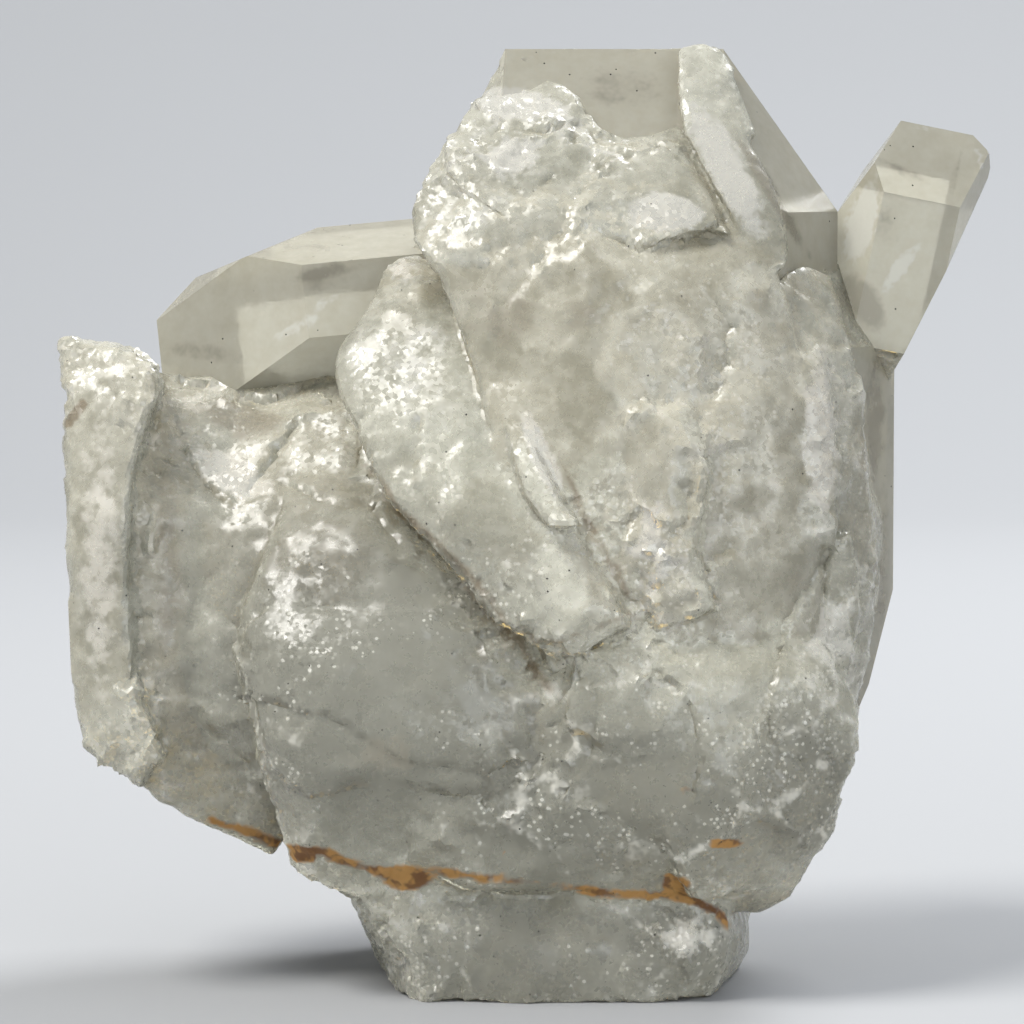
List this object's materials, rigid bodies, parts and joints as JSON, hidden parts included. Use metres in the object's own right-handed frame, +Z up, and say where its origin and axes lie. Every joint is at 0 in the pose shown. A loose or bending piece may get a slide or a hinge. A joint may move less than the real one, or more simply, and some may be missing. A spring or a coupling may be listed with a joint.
{
  "type": "quartz cluster",
  "caption": "Milky, slightly smoky quartz cluster: a large ridge-topped crystal grown together with smaller ones, broken across its front and foot, with a rusty seam near the base.",
  "frame": {"origin": "on the flat broken foot that the cluster rests on, below the middle of the whole cluster", "axes": "+X to the viewer's right with the broken front towards the viewer, +Y to the back, +Z up from the plane it rests on"},
  "size_m": [0.0807, 0.0533, 0.0803],
  "materials": {
    "quartz": "milky to clear, glassy on whole faces and rough on broken ones"
  },
  "bodies": {
    "root": {"quartz_cluster": "quartz"}
  },
  "joints": []
}
